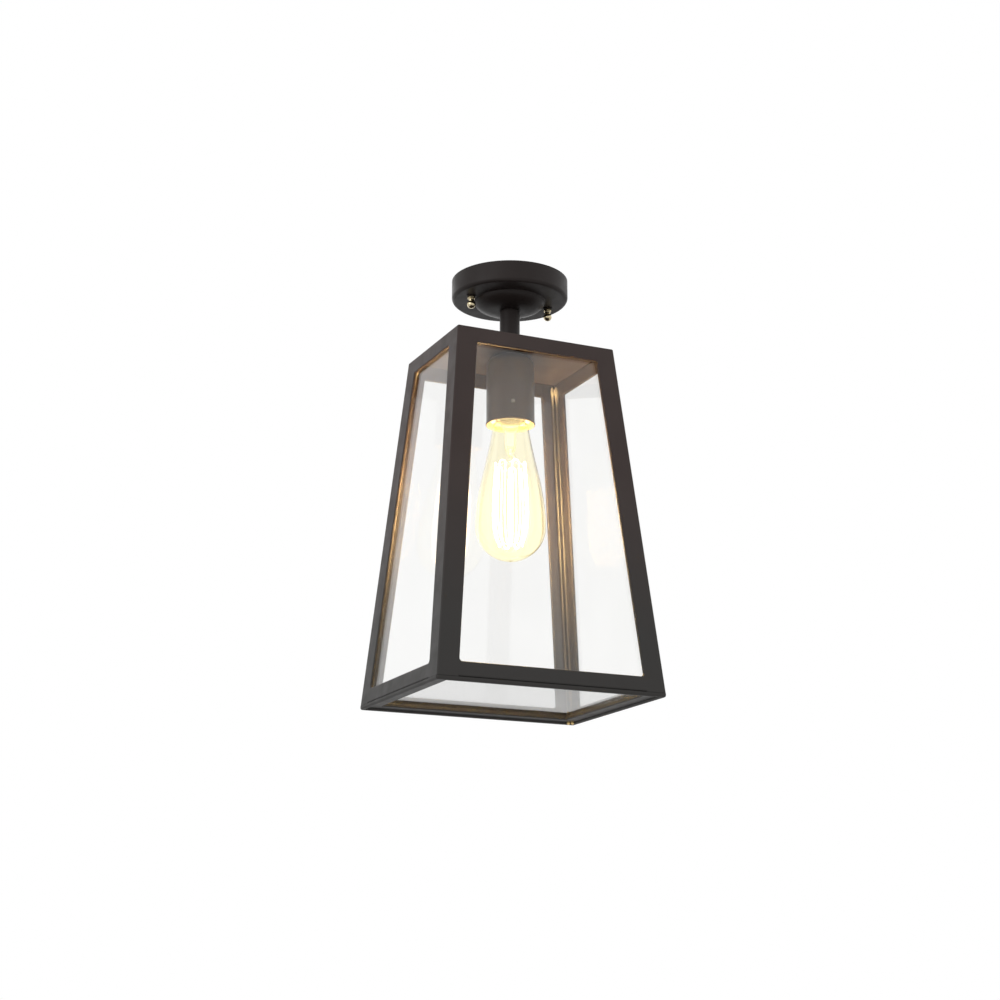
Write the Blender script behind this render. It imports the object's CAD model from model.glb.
# %% [markdown]
# # A porch ceiling lantern
# The lantern is a tapered box of folded sheet steel with glass in its faces. It hangs on a short stem
# under a round canopy, and a pear-shaped bulb with a caged filament burns inside it.
# The construction is packed already: this script loads it as a fixed frame and gives each piece its
# finished surface. New surfaces are worked out with numpy, in millimetres, from the frame's own boxes.

import bmesh
import bpy
import numpy as np
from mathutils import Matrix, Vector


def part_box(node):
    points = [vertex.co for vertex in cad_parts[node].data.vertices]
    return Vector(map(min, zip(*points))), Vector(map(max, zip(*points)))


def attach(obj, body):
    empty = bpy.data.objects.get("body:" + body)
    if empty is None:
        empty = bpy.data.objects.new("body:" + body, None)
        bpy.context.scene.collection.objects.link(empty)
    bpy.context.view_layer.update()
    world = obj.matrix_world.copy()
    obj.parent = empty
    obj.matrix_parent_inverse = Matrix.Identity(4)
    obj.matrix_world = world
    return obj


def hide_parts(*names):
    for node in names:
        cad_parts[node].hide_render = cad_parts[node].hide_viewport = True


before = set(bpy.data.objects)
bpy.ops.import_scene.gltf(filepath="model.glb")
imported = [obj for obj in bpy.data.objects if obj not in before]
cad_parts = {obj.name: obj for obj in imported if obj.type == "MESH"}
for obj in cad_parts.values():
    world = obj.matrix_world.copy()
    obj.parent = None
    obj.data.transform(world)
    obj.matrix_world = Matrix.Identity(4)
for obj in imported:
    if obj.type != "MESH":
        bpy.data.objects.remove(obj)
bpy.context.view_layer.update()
MM = 0.001

# %% [markdown]
# ## Sizes
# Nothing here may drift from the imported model, so the levels and half-sizes are read from the boxes of
# its nodes. Only what a box can't tell, such as a sheet's thickness, is written as a number.

# %% Read the levels and half-sizes from the frame


def box_of(node):
    """The lowest and highest corner of a node, in millimetres."""
    low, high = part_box(node)
    return np.array(low) / MM, np.array(high) / MM


ROOF_LOW, ROOF_HIGH = box_of("roof_plate")
FOOT_LOW, FOOT_HIGH = box_of("base_frame")
Z_ROOF = ROOF_HIGH[2]
Z_CEIL = ROOF_LOW[2]
Z_FOOT = FOOT_LOW[2]
Z_RAILS = box_of("post_front_left")[0][2]
HALF_W = FOOT_HIGH[0]
HALF_D = FOOT_HIGH[1]
BODY_H = Z_ROOF - Z_FOOT
TAPER = HALF_W - ROOF_HIGH[0]
TILT = np.arctan(TAPER / BODY_H)
SLANT = BODY_H / np.cos(TILT)

WALL = 1.2            # sheet of the posts, rails and base
FLANGE = 20.0         # a post's flange on each face
LIP = 3.0             # depth of the hemmed edge that the glass lies behind
SEAT = 9.0            # the flat that the glass is bonded to
TOP_RAIL_H = 15.0
BASE_RAIL_H = 17.5
RAIL_FOOT = 11.0      # how far a base rail turns in under the glass
GLASS = 3.0
BEAD_W = 2.2          # a bead of sealant is this wide on the glass
BEAD_T = 1.4          # and this thick
REST_GAP = 0.3        # air above and below a pane, and beside a spring tab
PANE_EDGE = LIP + GLASS + 0.8             # from the body's corner to a pane's edge
BEAD_EDGE = LIP + GLASS + BEAD_T + 0.5    # and to its bead
V_OPEN_LOW = BASE_RAIL_H / np.cos(TILT)
V_OPEN_HIGH = (BODY_H - TOP_RAIL_H) / np.cos(TILT)


def half_w(z):
    """Half the body's width at the height z: it falls evenly from the foot to the roof."""
    return HALF_W - TAPER * (z - Z_FOOT) / BODY_H


def half_d(z):
    """Half the body's depth at the height z."""
    return HALF_D - TAPER * (z - Z_FOOT) / BODY_H


print("body", HALF_W * 2, "x", HALF_D * 2, "x", BODY_H, "mm, leaning", round(np.degrees(TILT), 2), "deg")

# %% [markdown]
# ## From arrays to meshes
# A surface is an array of points in rows and columns. Four neighbours make a face, so the faces come
# from the index array alone. A thick sheet is two such arrays, one for each side, with their borders
# joined. Coinciding points are merged afterwards, and then the normals are turned outwards, which
# closes seams and poles however the arrays were laid out.

# %% Grids, thick sheets and turned shapes


def grid(points, wrap_rows=False, wrap_cols=False):
    """Quads between the neighbours of an array (rows, cols, 3). A wrapped side joins its end to its start."""
    rows, cols = points.shape[:2]
    index = np.arange(rows * cols).reshape(rows, cols)
    if wrap_rows:
        index = np.vstack([index, index[:1]])
    if wrap_cols:
        index = np.hstack([index, index[:, :1]])
    quads = np.stack([index[:-1, :-1], index[1:, :-1], index[1:, 1:], index[:-1, 1:]], axis=-1)
    return points.reshape(-1, 3), quads.reshape(-1, 4)


def sheet(outer, inner, wrap_cols=False):
    """A closed sheet between two arrays of the same shape: both sides, and the strips along their borders."""
    parts = [grid(outer, wrap_cols=wrap_cols), grid(inner, wrap_cols=wrap_cols)]
    parts += [grid(np.stack([outer[k], inner[k]]), wrap_cols=wrap_cols) for k in (0, -1)]
    if not wrap_cols:
        parts += [grid(np.stack([outer[:, k], inner[:, k]])) for k in (0, -1)]
    return parts


def swept_round(profile, segments):
    """A profile of (radius, z) points at even angles a about the Z axis: x = r cos a, y = r sin a."""
    r, z = np.asarray(profile, float).T
    a = np.linspace(0, 2 * np.pi, segments, endpoint=False)
    return np.stack([np.outer(r, np.cos(a)), np.outer(r, np.sin(a)), np.outer(z, np.ones(segments))], axis=-1)


def turned(profile, segments, wrap_rows=False):
    """A turned surface. With its rows wrapped, the profile is a closed loop."""
    return [grid(swept_round(profile, segments), wrap_rows, True)]


def turned_sheet(outer, inner, segments):
    """A turned wall between two profiles of as many points."""
    return sheet(swept_round(outer, segments), swept_round(inner, segments), wrap_cols=True)


def moved(parts, offset):
    """The same surfaces, moved."""
    return [(points + np.asarray(offset, float), faces) for points, faces in parts]


def arc(centre, radius, start, end, steps):
    """Points on a round arc, angles in degrees."""
    a = np.radians(np.linspace(start, end, steps + 1))
    return np.stack([centre[0] + radius * np.cos(a), centre[1] + radius * np.sin(a)], axis=-1)


def folded(corners, bend_r, wall, steps=6):
    """The two sides of a folded sheet in section. The centre line runs straight between its corners and
    takes an arc of radius bend_r at each: with N the left normal, an arc's points are centre - s r N(f),
    where s is the way it turns and f goes from nothing to the whole turn. The sides lie wall / 2 off it."""
    corners = np.asarray(corners, float)
    step = np.diff(corners, axis=0)
    along = step / np.linalg.norm(step, axis=1, keepdims=True)
    left = np.stack([-along[:, 1], along[:, 0]], axis=-1)
    turn = np.arctan2(along[:-1, 0] * along[1:, 1] - along[:-1, 1] * along[1:, 0],
                      (along[:-1] * along[1:]).sum(axis=1))
    radius = np.broadcast_to(np.asarray(bend_r, float), turn.shape)[:, None]
    reach = radius * np.sign(turn)[:, None]
    starts = corners[1:-1] - along[:-1] * radius * np.tan(np.abs(turn) / 2)[:, None]
    centres = starts + reach * left[:-1]
    f = turn[:, None] * np.linspace(0, 1, steps + 1)
    normal = np.stack([np.cos(f) * left[:-1, :1] - np.sin(f) * left[:-1, 1:],
                       np.sin(f) * left[:-1, :1] + np.cos(f) * left[:-1, 1:]], axis=-1)
    arcs = centres[:, None] - reach[:, None] * normal
    line = np.vstack([corners[:1], arcs.reshape(-1, 2), corners[-1:]])
    normals = np.vstack([left[:1], normal.reshape(-1, 2), left[-1:]])
    return line + normals * wall / 2, line - normals * wall / 2


def tube(path, radius, sides):
    """A round tube along a path (n, 3), with flat ends. Each ring stands square to the path, and its first
    axis is the last one's with the new direction taken out of it, so the tube never twists."""
    path = np.asarray(path, float)
    direction = np.gradient(path, axis=0)
    direction /= np.linalg.norm(direction, axis=1, keepdims=True)
    axis = np.cross(direction[0], [0.31, 0.17, 0.94])
    axes = []
    for d in direction:
        axis = axis - d * (axis @ d)
        axis = axis / np.linalg.norm(axis)
        axes.append(axis)
    first = np.array(axes)
    second = np.cross(direction, first)
    a = np.linspace(0, 2 * np.pi, sides, endpoint=False)[None, :, None]
    rings = path[:, None] + radius * (np.cos(a) * first[:, None] + np.sin(a) * second[:, None])
    ends = [grid(np.stack([rings[k], np.broadcast_to(path[k], rings[k].shape)]), wrap_cols=True)
            for k in (0, -1)]
    return [grid(rings, wrap_cols=True)] + ends


# %% [markdown]
# Every piece is finished in the same way, so one function makes it: it joins the surfaces, merges
# doubles, turns the normals outwards, shades smoothly up to a crease angle and rounds what is sharper
# with a small Bevel, because no real sheet has a razor edge. It also says which body the piece rides
# on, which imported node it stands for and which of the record's finishes it takes.

# %% Make a piece from surfaces, or from a copy of its node
CREASE = np.radians(32)
FLAT_WITHIN = np.radians(0.6)
EDGE_STEPS = 2


def finish_mesh(mesh, tidy_flats=False):
    """Merges doubles, drops empty faces, turns the normals outwards and shades smoothly below the crease."""
    work = bmesh.new()
    work.from_mesh(mesh)
    bmesh.ops.remove_doubles(work, verts=work.verts, dist=1e-6)
    bmesh.ops.dissolve_degenerate(work, dist=1e-7, edges=work.edges)
    if tidy_flats:
        bmesh.ops.dissolve_limit(work, angle_limit=FLAT_WITHIN, verts=work.verts, edges=work.edges)
    bmesh.ops.recalc_face_normals(work, faces=work.faces)
    work.to_mesh(mesh)
    work.free()
    mesh.polygons.foreach_set("use_smooth", np.ones(len(mesh.polygons), bool))
    mesh.set_sharp_from_angle(angle=CREASE)
    mesh.update()


def joined_mesh(name, parts):
    """One finished mesh from a list of (points in millimetres, faces)."""
    starts = np.cumsum([0] + [len(points) for points, _ in parts[:-1]])
    points = np.vstack([points for points, _ in parts]) * MM
    faces = np.vstack([quads + start for (_, quads), start in zip(parts, starts)])
    mesh = bpy.data.meshes.new(name)
    mesh.from_pydata(points.tolist(), [], faces.tolist())
    finish_mesh(mesh)
    return mesh


def new_object(name, data):
    """A mesh, a light or a camera as an object in the scene."""
    obj = bpy.data.objects.new(name, data)
    bpy.context.scene.collection.objects.link(obj)
    return obj


def place(obj, material, body, replaces, bevel):
    """Gives the piece its material, its rounded edges, its body and the node it stands for."""
    obj.data.materials.clear()
    obj.data.materials.append(material)
    if bevel:
        rounding = obj.modifiers.new("rounded edges", "BEVEL")
        rounding.width = bevel * MM
        rounding.segments = EDGE_STEPS
        rounding.limit_method = "ANGLE"
        rounding.angle_limit = CREASE
        rounding.harden_normals = True
    flats = obj.modifiers.new("flat faces stay flat", "WEIGHTED_NORMAL")
    flats.keep_sharp = True
    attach(obj, body)
    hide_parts(*replaces)
    print(obj.name + ":", len(obj.data.polygons), "faces, on", body)
    return obj


def piece(name, parts, material, replaces, body="root", bevel=0.0):
    """A new piece from a list of (points in millimetres, faces)."""
    return place(new_object(name, joined_mesh(name, parts)), material, body, replaces, bevel)


def dressed(node, material, body="root", bevel=0.2):
    """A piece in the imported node's own shape: a merged copy of it, with whole flats and rounded edges."""
    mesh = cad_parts[node].data.copy()
    mesh.name = node + "_finished"
    finish_mesh(mesh, tidy_flats=True)
    return place(new_object(node + "_finished", mesh), material, body, [node], bevel)


# %% [markdown]
# ## Finishes
# Three effects come back in many materials: the faint orange peel and uneven tone of powder coat, the
# fine marks that tools and fingers leave on bare metal, and the slight ripple of cheap glass. Each is
# a node group with its own inputs that puts out a colour, a roughness and a height. The shader itself
# stays in the material, with its constant values on its own sockets.

# %% Helpers for node trees


def add(tree, kind, inputs=None, **settings):
    """Adds a node. A value is set on its socket, and another node's socket is linked to it."""
    node = tree.nodes.new("ShaderNode" + kind)
    for key, value in settings.items():
        setattr(node, key, value)
    for key, value in (inputs or {}).items():
        if isinstance(value, bpy.types.NodeSocket):
            tree.links.new(value, node.inputs[key])
        else:
            node.inputs[key].default_value = value
    return node


def effect(name, inputs):
    """A new group that takes the named inputs and puts out Color, Roughness and Height."""
    group = bpy.data.node_groups.new(name, "ShaderNodeTree")

    def new_socket(label, direction):
        kind = "NodeSocketColor" if label == "Color" else "NodeSocketFloat"
        return group.interface.new_socket(label, in_out=direction, socket_type=kind)

    for label, value in inputs.items():
        new_socket(label, "INPUT").default_value = value
    for label in ("Color", "Roughness", "Height"):
        new_socket(label, "OUTPUT")
    return group, group.nodes.new("NodeGroupInput").outputs, group.nodes.new("NodeGroupOutput").inputs


def noise(tree, scale, detail=2.0, stretch=(1, 1, 1)):
    """Noise on Object coordinates, in features per metre. A stretch above 1 makes them finer that way."""
    place_at = add(tree, "Mapping", {"Vector": add(tree, "TexCoord").outputs["Object"], "Scale": stretch})
    settings = {"Vector": place_at.outputs["Vector"], "Scale": scale, "Detail": detail}
    return add(tree, "TexNoise", settings).outputs["Fac"]


def spread(tree, value, low, high):
    """Stretches the middle of a noise, 0.3 to 0.7, over a range."""
    settings = {"Value": value, "From Min": 0.3, "From Max": 0.7, "To Min": low, "To Max": high}
    return add(tree, "MapRange", settings).outputs[0]


def combined(tree, operation, first, second):
    """The sum, difference, product or maximum of two values or sockets."""
    return add(tree, "Math", {0: first, 1: second}, operation=operation).outputs[0]


def toned(tree, color, amount, value):
    """The colour made lighter and darker by an amount, along with a noise."""
    level = spread(tree, value, combined(tree, "SUBTRACT", 1.0, amount), combined(tree, "ADD", 1.0, amount))
    return add(tree, "VectorMath", {0: color, "Scale": level}, operation="SCALE").outputs["Vector"]


def put_out(group, given, out, uneven, rougher, height):
    """Links a group's outputs: the toned colour, the given roughness and a bit more, and the height."""
    group.links.new(toned(group, given["Color"], given["Tone"], uneven), out["Color"])
    group.links.new(combined(group, "ADD", given["Roughness"], rougher), out["Roughness"])
    group.links.new(height, out["Height"])


# %% The three effects
powder, given, out = effect("powder_coat", {"Color": (0.05, 0.04, 0.035, 1), "Tone": 0.1, "Roughness": 0.45,
                                            "Peel": 1500.0})
rubbed = spread(powder, noise(powder, 70, 4), -0.05, 0.07)
put_out(powder, given, out, noise(powder, 22, 3), rubbed, noise(powder, given["Peel"]))

marks, given, out = effect("metal_marks", {"Color": (0.8, 0.8, 0.8, 1), "Tone": 0.08, "Roughness": 0.25})
rings = noise(marks, 300, 3, (1, 1, 14))
put_out(marks, given, out, noise(marks, 160, 4), spread(marks, rings, -0.06, 0.1), rings)

ripple, given, out = effect("glass_ripple", {"Color": (1, 1, 1, 1), "Tone": 0.01, "Roughness": 0.0})
put_out(ripple, given, out, noise(ripple, 12, 1), 0.0, noise(ripple, 14, 0.0))
print("effects:", powder.name, marks.name, ripple.name)

# %% [markdown]
# A finish puts one effect in front of a Principled shader. Values that are the same all over the
# surface, such as Metallic or the specular level, are written on the shader. The bump's distance is
# the real height of the marks, a few hundredths of a millimetre or less. Plain glass would stop the
# bulb's light, because rays that look for a lamp can't bend. So to a shadow ray the glass is clear.

# %% The finishes themselves
PEEL_MM = 0.012
CLEAR_SHADOW = 0.9        # how much of the light a shadow ray lets through the glass


def new_material(name, group, values, bump_mm, shader):
    """One effect into one Principled shader. Returns the material, its tree and the shader."""
    material = bpy.data.materials.new(name)
    material.use_nodes = True
    tree = material.node_tree
    tree.nodes.clear()
    look = tree.nodes.new("ShaderNodeGroup")
    look.node_tree = group
    for key, value in values.items():
        look.inputs[key].default_value = value
    bump = add(tree, "Bump", {"Strength": 1.0, "Distance": bump_mm * MM, "Height": look.outputs["Height"]})
    principled = add(tree, "BsdfPrincipled", dict(shader, Normal=bump.outputs["Normal"]))
    tree.links.new(look.outputs["Color"], principled.inputs["Base Color"])
    tree.links.new(look.outputs["Roughness"], principled.inputs["Roughness"])
    add(tree, "OutputMaterial", {"Surface": principled.outputs["BSDF"]})
    return material, tree, principled


def powder_coat(name, color, roughness, specular=0.2):
    """Baked powder paint on steel."""
    values = {"Color": (*color, 1), "Roughness": roughness}
    return new_material(name, powder, values, PEEL_MM, {"Specular IOR Level": specular})[0]


def metal(name, color, roughness, bump_mm=0.004):
    """Bare or plated metal with faint marks round its axis."""
    values = {"Color": (*color, 1), "Roughness": roughness}
    return new_material(name, marks, values, bump_mm, {"Metallic": 1.0})[0]


def plain_coat(name, color, roughness, bump_mm=0.01, tone=0.05, peel=900.0):
    """Glazed ceramic, wire sleeves, sealant and the like."""
    values = {"Color": (*color, 1), "Roughness": roughness, "Tone": tone, "Peel": peel}
    return new_material(name, powder, values, bump_mm, {})[0]


def clear(name, color, roughness=0.0, bump_mm=0.02, ior=1.5, glow=((1.0, 1.0, 1.0), 0.0)):
    """Glass. That of a lit bulb also glows faintly, as (colour, strength)."""
    values = {"Color": (*color, 1), "Roughness": roughness}
    material, tree, principled = new_material(
        name, ripple, values, bump_mm, {"Metallic": 0.0, "Transmission Weight": 1.0, "IOR": ior,
                                        "Emission Color": (*glow[0], 1), "Emission Strength": glow[1]})
    lets_through = add(tree, "BsdfTransparent", {"Color": (*[CLEAR_SHADOW * c for c in color], 1)})
    choice = add(tree, "MixShader", {0: add(tree, "LightPath").outputs["Is Shadow Ray"],
                                     1: principled.outputs["BSDF"], 2: lets_through.outputs["BSDF"]})
    tree.links.new(choice.outputs["Shader"], tree.nodes["Material Output"].inputs["Surface"])
    return material


BRONZE = powder_coat("bronze_paint", (0.039, 0.027, 0.0245), 0.42)
CANOPY_BRONZE = powder_coat("canopy_paint", (0.017, 0.0125, 0.0115), 0.44)
CUP_BRONZE = powder_coat("cup_paint", (0.072, 0.056, 0.046), 0.36, specular=0.35)
PANE_GLASS = clear("pane_glass", (0.968, 0.968, 0.962))
BULB_GLOW = (1.0, 0.80, 0.25)
BULB_GLASS = clear("bulb_glass_amber", (1.0, 0.975, 0.84), roughness=0.02, bump_mm=0.01, ior=1.3,
                   glow=(BULB_GLOW, 0.09))
STEM_GLASS = clear("stem_glass_clear", (0.97, 0.98, 0.97), glow=((1.0, 0.84, 0.42), 0.15))
SILICONE = plain_coat("silicone_sealant", (0.05, 0.042, 0.034), 0.3, 0.05, 0.12, 500.0)
POLISHED_BRASS = metal("polished_brass_nut", (0.64, 0.55, 0.36), 0.09, 0.002)
BRASS = metal("brass_plain", (0.72, 0.53, 0.24), 0.26)
ZINC = metal("zinc_plate", (0.62, 0.63, 0.64), 0.3)
DULL_ZINC = metal("dull_zinc_screw", (0.26, 0.25, 0.23), 0.5)
CERAMIC = plain_coat("glazed_ceramic", (0.80, 0.77, 0.70), 0.2, 0.01, 0.03, 400.0)
LEAD_RED = plain_coat("lead_sleeve_red", (0.42, 0.03, 0.02), 0.4)
LEAD_WHITE = plain_coat("lead_sleeve_white", (0.75, 0.74, 0.70), 0.4)
LEAD_GREEN = plain_coat("lead_sleeve_green", (0.10, 0.24, 0.04), 0.4)
BLACK_GLASS = plain_coat("cap_black_glass", (0.015, 0.015, 0.018), 0.12, 0.01, 0.1)
CAP_METAL = metal("cap_aluminium", (0.74, 0.73, 0.71), 0.22)
print(len(bpy.data.materials), "finishes")

# %% [markdown]
# Some finishes aren't one colour all over. The cup is painted outside and plated inside, where the
# bulb's light turns it gold. The bronze is a shade greyer towards the foot. The sealant is clear, and
# dries to cream blobs under the roof. The bulb's neck glows less, because the filament stops short of
# it. The faces could take two materials, but then the tones would meet in a hard line. Here a distance
# from the lantern's axis or from the ceiling makes a mask, and the mask blends two colours.

# %% Second tones
FROM_AXIS = (1, 1, 0)
ALONG_Z = (0, 0, 1)
CUP_R = 22.5
CUP_SHOULDER_R = 9.0
NECK_GLOW = (0.25, 0.20, 0.10)
# Where each tone begins and where it is full: from the axis the first, the others down from the ceiling
PLATED = CUP_R - 0.4, CUP_R - 0.6
UNDER_SHOULDER = CUP_SHOULDER_R - Z_CEIL, CUP_SHOULDER_R + 1 - Z_CEIL
GREYER = 190, 350
CREAM = 24 - Z_CEIL, 12 - Z_CEIL
GLOWING = 185, 225


def distance_mask(tree, axes, low, high):
    """0 at `low` and 1 at `high` and beyond, in millimetres from the Z axis or along it."""
    part = add(tree, "VectorMath", {0: add(tree, "TexCoord").outputs["Object"], 1: axes}, operation="MULTIPLY")
    distance = add(tree, "VectorMath", {0: part.outputs[0]}, operation="LENGTH").outputs["Value"]
    return add(tree, "MapRange", {"Value": distance, "From Min": low * MM, "From Max": high * MM}).outputs[0]


def blend(tree, mask, first, second):
    """The first colour where the mask is 0 and the second where it is 1. In a Mix node the colours are
    inputs 6 and 7, and their blend is output 2."""
    return add(tree, "Mix", {0: mask, 6: first, 7: second}, data_type="RGBA").outputs[2]


def second_tone(material, color, mask):
    """Blends a second colour over the first."""
    tree = material.node_tree
    base = tree.nodes["Principled BSDF"].inputs["Base Color"]
    tree.links.new(blend(tree, mask, base.links[0].from_socket, (*color, 1)), base)


tree = CUP_BRONZE.node_tree
within_wall = distance_mask(tree, FROM_AXIS, *PLATED)
plated = combined(tree, "MULTIPLY", within_wall, distance_mask(tree, ALONG_Z, *UNDER_SHOULDER))
second_tone(CUP_BRONZE, (0.78, 0.60, 0.30), plated)
second_tone(BRONZE, (0.0315, 0.0295, 0.028), distance_mask(BRONZE.node_tree, ALONG_Z, *GREYER))
second_tone(SILICONE, (0.40, 0.35, 0.28), distance_mask(SILICONE.node_tree, ALONG_Z, *CREAM))
tree = BULB_GLASS.node_tree
lit = blend(tree, distance_mask(tree, ALONG_Z, *GLOWING), (*NECK_GLOW, 1), (*BULB_GLOW, 1))
tree.links.new(lit, tree.nodes["Principled BSDF"].inputs["Emission Color"])
print("second tones: cup, bronze, sealant and the bulb's glow")

# %% [markdown]
# The filament lights the lantern from inside. A point light in the bulb would be simpler, but the
# panes would then mirror a ball. So the wire itself glows, a little unevenly, as a hot wire does.

# %% The glowing filament
FILAMENT_GLOW = 420.0
FILAMENT, tree, hot = new_material("glowing_filament", marks, {"Color": (0.2, 0.1, 0.05, 1), "Roughness": 0.6},
                                   0.01, {"Emission Strength": FILAMENT_GLOW})
tree.links.new(toned(tree, (1.0, 0.73, 0.42), 0.08, noise(tree, 90, 2)), hot.inputs["Emission Color"])
print(FILAMENT.name, "shines at", FILAMENT_GLOW)

# %% [markdown]
# ## Folded posts
# Each corner post is one strip of steel, folded five times: once along the corner itself, and twice
# round each window's edge, where the sheet turns back behind itself. That hemmed edge is 3 mm deep,
# and the glass is bonded behind it. The section never changes; it only slides along the leaning
# corner. So a post is the folded section carried between two levels, which keeps its wall even.

# %% The four posts
FOLD_MID = 1.0                        # centre-line radius of the fold at the corner
HEM_MID = (LIP - WALL) / 2 - 0.01     # and of a hem's two folds, which all but meet
FOLD_R = FOLD_MID + WALL / 2
HEM_R = HEM_MID + WALL / 2
slope_wall = WALL / np.cos(TILT)
near = slope_wall / 2
far = LIP / np.cos(TILT) - slope_wall / 2
edge = FLANGE - slope_wall / 2
post_sides = folded([(FLANGE - SEAT, far), (edge, far), (edge, near), (near, near),
                     (near, edge), (far, edge), (far, FLANGE - SEAT)],
                    [HEM_MID, HEM_MID, FOLD_MID, HEM_MID, HEM_MID], slope_wall)


def post(sx, sy):
    """The section's (a, b) lie in from the two faces: x = sx (half width(z) - a) and
    y = sy (half depth(z) - b)."""
    z = np.array([Z_RAILS, Z_CEIL])
    sides = [np.stack([sx * (half_w(z)[None] - ab[:, :1]), sy * (half_d(z)[None] - ab[:, 1:]),
                       np.broadcast_to(z, (len(ab), 2))], axis=-1) for ab in post_sides]
    return sheet(*sides)


def block(low, high):
    """A plain block between two corners, to be rounded by its bevel."""
    x, y, z = np.stack([low, high], axis=-1).astype(float)
    lattice = np.stack(np.meshgrid(x, y, z, indexing="ij"), axis=-1)
    return sheet(lattice[0], lattice[1])


POST_SPOTS = {"front_left": (-1, -1), "front_right": (1, -1), "back_left": (-1, 1), "back_right": (1, 1)}
POST_FOOT = 10.0          # the back right post's tapped foot for the base screws
for spot, (sx, sy) in POST_SPOTS.items():
    parts = post(sx, sy)
    if spot == "back_right":
        corner = np.array([half_w(Z_RAILS) - WALL / 2, half_d(Z_RAILS) - WALL / 2, Z_RAILS])
        parts += block(corner - [POST_FOOT, POST_FOOT, 0], corner + [0, 0, WALL])
    piece("steel_post_" + spot, parts, BRONZE, ["post_" + spot], bevel=0.2)

# %% [markdown]
# ## Rails with rounded window corners
# A rail closes a window above or below. Its fold runs along the window's edge, and turns up beside
# the posts in a small fillet, as the filled and painted corner does. The path of that edge is worked
# out on the leaning face, and the section is carried along it: flat face, fold, lip, fold, seat.

# %% Coordinates on a leaning face
FACES = {"front": (0, HALF_D, HALF_W), "back": (180, HALF_D, HALF_W),
         "left": (-90, HALF_W, HALF_D), "right": (90, HALF_W, HALF_D)}


def facing(side, x, y, z):
    """Turns what is drawn for the front face about Z to its own side."""
    turn = np.radians(FACES[side][0])
    turned_x, turned_y = np.cos(turn) * x - np.sin(turn) * y, np.sin(turn) * x + np.cos(turn) * y
    return np.stack(np.broadcast_arrays(turned_x, turned_y, z), axis=-1)


def on_face(side, u, v, depth):
    """A point u along a face, v up its slope and depth behind it: the face leans in by TILT, so
    y = -across + v sin t + depth cos t and z = foot + v cos t - depth sin t."""
    y = -FACES[side][1] + v * np.sin(TILT) + depth * np.cos(TILT)
    return facing(side, u, y, Z_FOOT + v * np.cos(TILT) - depth * np.sin(TILT))


def half_at(side, v):
    """Half the face's width at the height v up its slope."""
    return FACES[side][2] - TAPER * v / SLANT


def level_v(z, depth):
    """The v at which a depth behind the face reaches the level z."""
    return (z - Z_FOOT + depth * np.sin(TILT)) / np.cos(TILT)


# %% The eight rails
FILLET_TOP = 1.0
FILLET_LOW = 2.6
FILLET_STEPS = 8
RAIL_RUN = 30.0           # more than any rail's height: its far rows are moved to where the rail ends
rail_sides = folded([(0, WALL / 2), (WALL / 2 - RAIL_RUN, WALL / 2), (WALL / 2 - RAIL_RUN, LIP - WALL / 2),
                     (0, LIP - WALL / 2)], HEM_MID, WALL)


def window_edge(side, v_edge, radius, up):
    """Half of a rail's window edge, from its middle to the post: a straight run, then a fillet tangent to
    it and to the slanted post. Returns points (u, v) and, at each, the way out of the window."""
    corner = np.array([half_at(side, v_edge) - FLANGE, v_edge])
    lean = TAPER / SLANT
    length = np.hypot(lean, 1.0)
    beside = up * np.array([-lean, 1.0]) / length
    inward = np.array([-1.0, 0.0])
    middle = (beside + inward) / np.linalg.norm(beside + inward)
    centre = corner + middle * radius / np.sin(np.arccos(beside @ inward) / 2)
    start = np.array([0.0, -up])
    end = np.array([1.0, lean]) / length
    f = np.arctan2(start[0] * end[1] - start[1] * end[0], start @ end) * np.linspace(0, 1, FILLET_STEPS + 1)
    cos, sin = np.cos(f), np.sin(f)
    out = np.stack([cos * start[0] - sin * start[1], sin * start[0] + cos * start[1]], axis=-1)
    return np.vstack([[0.0, v_edge], centre + radius * out]), np.vstack([start, out])


def rail(side, v_edge, radius, up, z_face, z_seat):
    """The rail's section carried along the window's edge: a section point lies `distance` out from the
    edge. The flat's and the seat's far rows end on the level z_face or z_seat, and beside the post on
    the line where the post's own fold begins."""
    path, out = window_edge(side, v_edge, radius, up)
    arrays = []
    for section in rail_sides:
        distance, depth = section[:, 0] + RAIL_RUN, section[:, 1]
        u, v = (path[:, k] + distance[:, None] * out[:, k] for k in (0, 1))
        for row, z_end in ((0, z_face), (-1, z_seat)):
            v_end = level_v(z_end, depth[row])
            v_top = path[-1, 1] + HEM_R * out[-1, 1]
            v[row, 0] = v_end
            v[row, 1:] = v_end + (v_top - v_end) * np.linspace(0, 1, FILLET_STEPS + 1)
            u[row, 0] = 0.0
            u[row, 1:] = half_at(side, v[row, 1:]) - FLANGE + HEM_R
        u = np.hstack([-u[:, :0:-1], u])
        v = np.hstack([v[:, :0:-1], v])
        arrays.append(on_face(side, u, v, depth[:, None]))
    return sheet(*arrays)


FOOT_SEAM = Z_RAILS + FOLD_R + 0.4      # the level at which the rail's face meets its foot


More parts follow.
